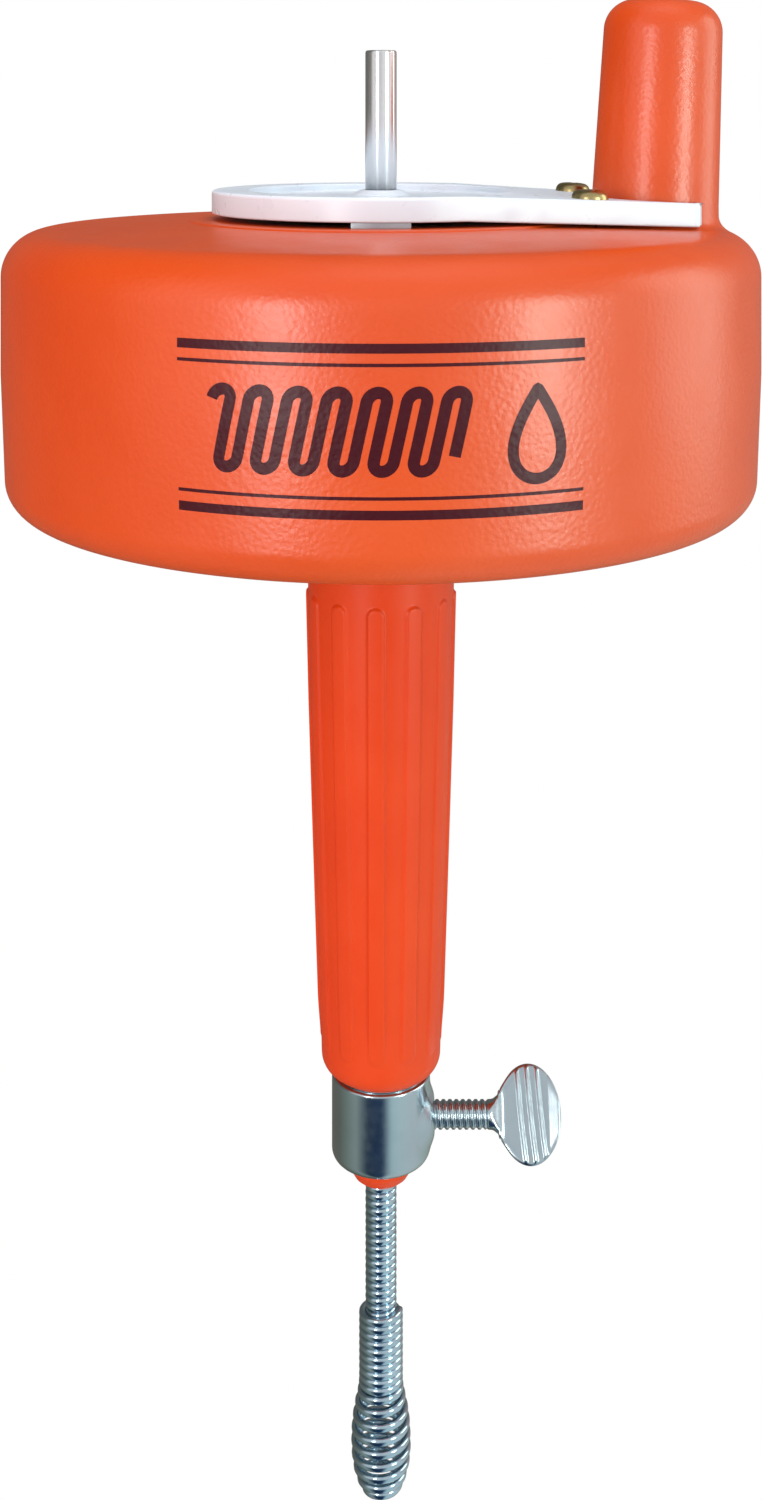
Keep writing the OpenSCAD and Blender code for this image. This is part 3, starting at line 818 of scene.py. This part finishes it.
def stroke(points, width, closed=False):
    """A flat band of the print along a line of (u, v) points."""
    pts = np.asarray(points, float)
    if closed:
        nxt, prv = np.roll(pts, -1, 0), np.roll(pts, 1, 0)
        t = nxt - prv
    else:
        t = np.gradient(pts, axis=0)
    t /= np.linalg.norm(t, axis=1)[:, None]
    n = np.stack([-t[:, 1], t[:, 0]], -1) * width / 2
    rows = [pts + n, pts - n]
    verts = [on_wall(u, v) for row in rows for u, v in row]
    count = len(pts)
    span = count if closed else count - 1
    faces = [(i, (i + 1) % count, count + (i + 1) % count, count + i) for i in range(span)]
    return np.array(verts), faces


def line(a, b, n):
    """Evenly spaced points from a to b."""
    return [(a[0] + (b[0] - a[0]) * t, a[1] + (b[1] - a[1]) * t) for t in np.linspace(0, 1, n)]


def print_data():
    """Generic print: two double rules with a winding line and a drop between them."""
    turns, turn_r, half, slant, first_u = 7, 2.05, 6.0, 0.22, -35
    drop_u, drop_r = 33, 7.2
    parts = []
    for offset, width in ((17, 2.0), (-17, 2.0), (13.6, 0.7), (-13.6, 0.7)):
        v = PRINT_MID + offset
        parts.append(stroke(line((-PRINT_HALF, v), (PRINT_HALF, v), 90), width))
    winding = []
    for k in range(turns):
        x = first_u + 4 * turn_r * k
        winding += arc(x, half, turn_r, 180, 0, 15)[:-1]
        winding += line((x + turn_r, half), (x + turn_r, -half), 16)[:-1]
        if k < turns - 1:
            low_x = x + 2 * turn_r
            winding += arc(low_x, -half, turn_r, 180, 360, 15)[:-1]
            winding += line((low_x + turn_r, -half), (low_x + turn_r, half), 16)[:-1]
    parts.append(stroke([(u + slant * v, PRINT_MID + v) for u, v in winding], 2.5))
    drop = []
    for t in np.linspace(0, TAU, 90, endpoint=False):
        x = drop_r * math.sin(t) * (0.5 - 0.5 * math.cos(t)) ** 0.55
        drop.append((drop_u + x, PRINT_MID - 1.2 + 1.3 * drop_r * math.cos(t)))
    parts.append(stroke(drop, 2.4, closed=True))
    return join_data(parts)


ink = make_mesh("wall_print", *print_data(), smooth=False)
ink.modifiers.new("ink", "SOLIDIFY").thickness = PRINT_T * MM
finish_piece(ink, MAT["print_ink"], "rotor", "orange_shell")


# ---------------------------------------------------------------- CAD nodes shown as they are

slot_of = {s["node"]: s["material_slot"] for s in frame["record"]["subparts"]}
for node_name, node_obj in frame["nodes"].items():
    node_obj.data.materials.clear()
    node_obj.data.materials.append(MAT[slot_of[node_name]])


# ---------------------------------------------------------------- stage, light and camera

def pale_floor():
    """Pale floor: plain white to the camera, soft grey to everything else, clear from below."""
    s = Shader("pale_floor", grey(0.7), 0.9)
    seen = s.node("ShaderNodeLightPath").outputs["Is Camera Ray"]
    glow = s.node("ShaderNodeEmission")
    glow.inputs["Color"].default_value = (1, 1, 1, 1)
    both = s.node("ShaderNodeMixShader")
    s.link(seen, both.inputs[0])
    s.link(s.bsdf.outputs[0], both.inputs[1])
    s.link(glow.outputs[0], both.inputs[2])
    sided = s.node("ShaderNodeMixShader")
    s.link(s.node("ShaderNodeNewGeometry").outputs["Backfacing"], sided.inputs[0])
    s.link(both.outputs[0], sided.inputs[1])
    s.link(s.node("ShaderNodeBsdfTransparent").outputs[0], sided.inputs[2])
    s.link(sided.outputs[0], s.tree.nodes["Material Output"].inputs["Surface"])
    return s.mat


bpy.ops.mesh.primitive_plane_add(size=FLOOR_SIZE, location=(0, 0, FLOOR_Z))
floor = bpy.context.active_object
floor.name = "floor"
floor.data.materials.append(pale_floor())
floor.visible_glossy = False


def world_light():
    """A soft room for the metal to mirror: bright above and to the right, dark in front below."""
    world = bpy.data.worlds.new("studio")
    bpy.context.scene.world = world
    world.use_nodes = True
    tree = world.node_tree
    back = tree.nodes["Background"]

    def node(kind, op=None, values=(), sources=()):
        """A new node with its operation, fixed inputs and linked inputs."""
        n = tree.nodes.new(kind)
        if op:
            n.operation = op
        for i, v in values:
            n.inputs[i].default_value = v
        for i, src in sources:
            tree.links.new(src, n.inputs[i])
        return n

    def ramp(fac, stops):
        """Colour by direction, in degrees from the front to the right."""
        n = node("ShaderNodeValToRGB", sources=[(0, fac)])
        elements = n.color_ramp.elements
        while len(elements) < len(stops):
            elements.new(0.5)
        for element, (degrees, color) in zip(elements, stops):
            element.position = degrees / 360 + 0.5
            element.color = (*color, 1)
        return n.outputs["Color"]

    def mix(values, sources):
        """Colour between inputs 6 and 7 by the factor at input 0."""
        n = node("ShaderNodeMix")
        n.data_type = "RGBA"
        for i, v in values:
            n.inputs[i].default_value = v
        for i, src in sources:
            tree.links.new(src, n.inputs[i])
        return n.outputs[2]

    direction = node("ShaderNodeTexCoord").outputs["Generated"]
    split = node("ShaderNodeSeparateXYZ", sources=[(0, direction)])
    front = node("ShaderNodeMath", "MULTIPLY", [(1, -1.0)], [(0, split.outputs["Y"])])
    angle = node("ShaderNodeMath", "ARCTAN2", [], [(0, split.outputs["X"]), (1, front.outputs[0])])
    scaled = node("ShaderNodeMath", "MULTIPLY_ADD", [(1, 1 / TAU), (2, 0.5)], [(0, angle.outputs[0])])
    turn = scaled.outputs[0]
    upper = ramp(turn, [(-180, (0.2, 0.2, 0.18)), (-120, (0.16, 0.17, 0.16)), (-80, (0.22, 0.23, 0.22)),
                        (-62, (1.0, 1.0, 1.0)), (-8, (1.0, 1.0, 1.0)), (-2, (0.7, 0.78, 0.82)),
                        (4, (1.0, 1.0, 1.0)), (72, (1.0, 1.0, 1.0)), (84, (0.62, 0.36, 0.42)),
                        (122, (0.6, 0.44, 0.44)), (180, (0.2, 0.2, 0.18))])
    lower = ramp(turn, [(-180, (0.2, 0.18, 0.14)), (-112, (0.24, 0.24, 0.2)), (-84, (0.34, 0.4, 0.34)),
                        (-60, (0.48, 0.54, 0.5)), (-46, (0.22, 0.28, 0.28)), (-32, (0.02, 0.05, 0.1)),
                        (6, (0.02, 0.06, 0.15)), (24, (0.8, 1.0, 1.0)), (85, (0.95, 1.0, 1.0)),
                        (125, (0.7, 0.8, 0.72)), (180, (0.2, 0.18, 0.14))])
    rise = node("ShaderNodeMapRange", values=[(1, -0.32), (2, -0.12)], sources=[(0, split.outputs["Z"])])
    room = mix([], [(0, rise.outputs[0]), (6, lower), (7, upper)])
    seen = node("ShaderNodeLightPath").outputs["Is Camera Ray"]
    white = grey(1 / WORLD_POWER)
    tree.links.new(mix([(7, white)], [(0, seen), (6, room)]), back.inputs["Color"])
    back.inputs["Strength"].default_value = WORLD_POWER


world_light()


def area(name, location, target, size, power, glossy=True, color=(1, 1, 1)):
    """A soft rectangular light, hidden from the camera."""
    light = bpy.data.lights.new(name, "AREA")
    light.shape = "RECTANGLE"
    light.size, light.size_y = size
    light.energy = power
    light.color = color
    obj = bpy.data.objects.new(name, light)
    bpy.context.scene.collection.objects.link(obj)
    obj.location = location
    obj.rotation_euler = (Vector(target) - Vector(location)).to_track_quat("-Z", "Y").to_euler()
    obj.visible_camera = False
    obj.visible_glossy = glossy


def strip(name, turn, size, power, color):
    """A tall soft light a metre from the axis, turned from the front towards the right."""
    a = math.radians(turn)
    height = -0.06
    area(name, (math.sin(a), -math.cos(a), height), (0, 0, height), size, power, color=color)


strip("strip_left", -28, (0.15, 0.52), 3.8, (1, 0.98, 0.96))
strip("strip_right", 45, (0.2, 0.52), 5.2, (0.86, 1, 0.92))
area("side_right", (0.9, 0.1, 0.1), (0, 0, -0.1), (0.5, 0.8), 3.4, color=(0.82, 1, 0.9))
area("fill_left", (-0.8, -0.5, 0.2), (0, 0, -0.12), (0.5, 0.9), 5.4, glossy=False, color=(1, 0.62, 0.54))
area("top", (0.1, 0.1, 0.9), (0, 0, 0), (0.8, 0.8), 7.6, glossy=False)

camera_data = bpy.data.cameras.new("camera")
camera = bpy.data.objects.new("camera", camera_data)
bpy.context.scene.collection.objects.link(camera)
camera_data.sensor_fit = "VERTICAL"
camera_data.sensor_height = 36
camera_data.lens = LENS
camera_data.clip_start = 0.01
camera.location = STATION
camera.rotation_euler = (math.pi / 2, 0, 0)
bpy.context.scene.camera = camera


def shift_at_station(value):
    """A lens shift that holds at the camera's own station and fades to zero away from it."""
    station = bpy.data.objects.new("photo_station", None)
    bpy.context.scene.collection.objects.link(station)
    station.location = STATION
    curve = camera_data.driver_add("shift_y")
    driver = curve.driver
    driver.type = "AVERAGE"
    var = driver.variables.new()
    var.name = "away"
    var.type = "LOC_DIFF"
    var.targets[0].id = camera
    var.targets[1].id = station
    for mod in list(curve.modifiers):
        curve.modifiers.remove(mod)
    for at, shift in ((0.0, value), (0.012, value), (0.03, 0.0), (9.0, 0.0)):
        key = curve.keyframe_points.insert(at, shift)
        key.interpolation = "LINEAR"
    camera_data.shift_y = value


shift_at_station(LENS_SHIFT)
bpy.context.scene.view_settings.view_transform = "Standard"
